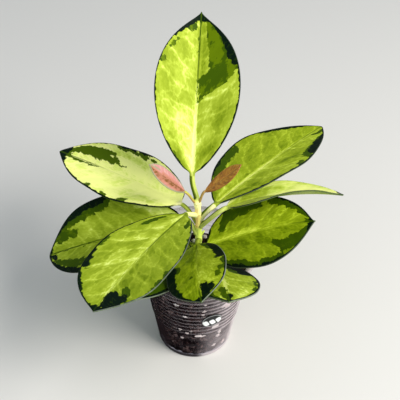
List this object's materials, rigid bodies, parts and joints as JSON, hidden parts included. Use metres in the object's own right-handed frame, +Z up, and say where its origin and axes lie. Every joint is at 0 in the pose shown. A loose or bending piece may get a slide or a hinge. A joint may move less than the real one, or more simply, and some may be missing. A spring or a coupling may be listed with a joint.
{
  "type": "potted hoya plant",
  "caption": "Young variegated hoya with waxy lime and dark green leaves, growing from bark mix in a clear ribbed plastic cup.",
  "frame": {"origin": "on the table, under the middle of the cup's flat base", "axes": "+Z up along the cup's axis, -Y towards the side that the picture shows, +X to that view's right"},
  "size_m": [0.1714, 0.1572, 0.1924],
  "materials": {
    "cup": "clear thin plastic with fine ribs",
    "potting_mix": "damp bark and coir with pale perlite",
    "label": "black oval sticker with a pale border and plain marks",
    "stem": "pale yellow-green, slightly waxy",
    "leaf": "waxy leaf, lime centre with a blotched dark green margin",
    "young_leaf_pink": "waxy young leaf, pink",
    "young_leaf_copper": "waxy young leaf, copper brown"
  },
  "bodies": {
    "root": {"cup": "cup", "soil": "potting_mix", "label": "label", "stem": "stem", "leaf_top": "leaf", "leaf_left_upper": "leaf", "leaf_left_back": "leaf", "leaf_left_front": "leaf", "leaf_left_low": "leaf", "leaf_front": "leaf", "leaf_front_right": "leaf", "leaf_right_upper": "leaf", "leaf_right_drooping": "leaf", "leaf_right_lower": "leaf", "leaf_young_pink": "young_leaf_pink", "leaf_young_copper": "young_leaf_copper"}
  },
  "joints": []
}
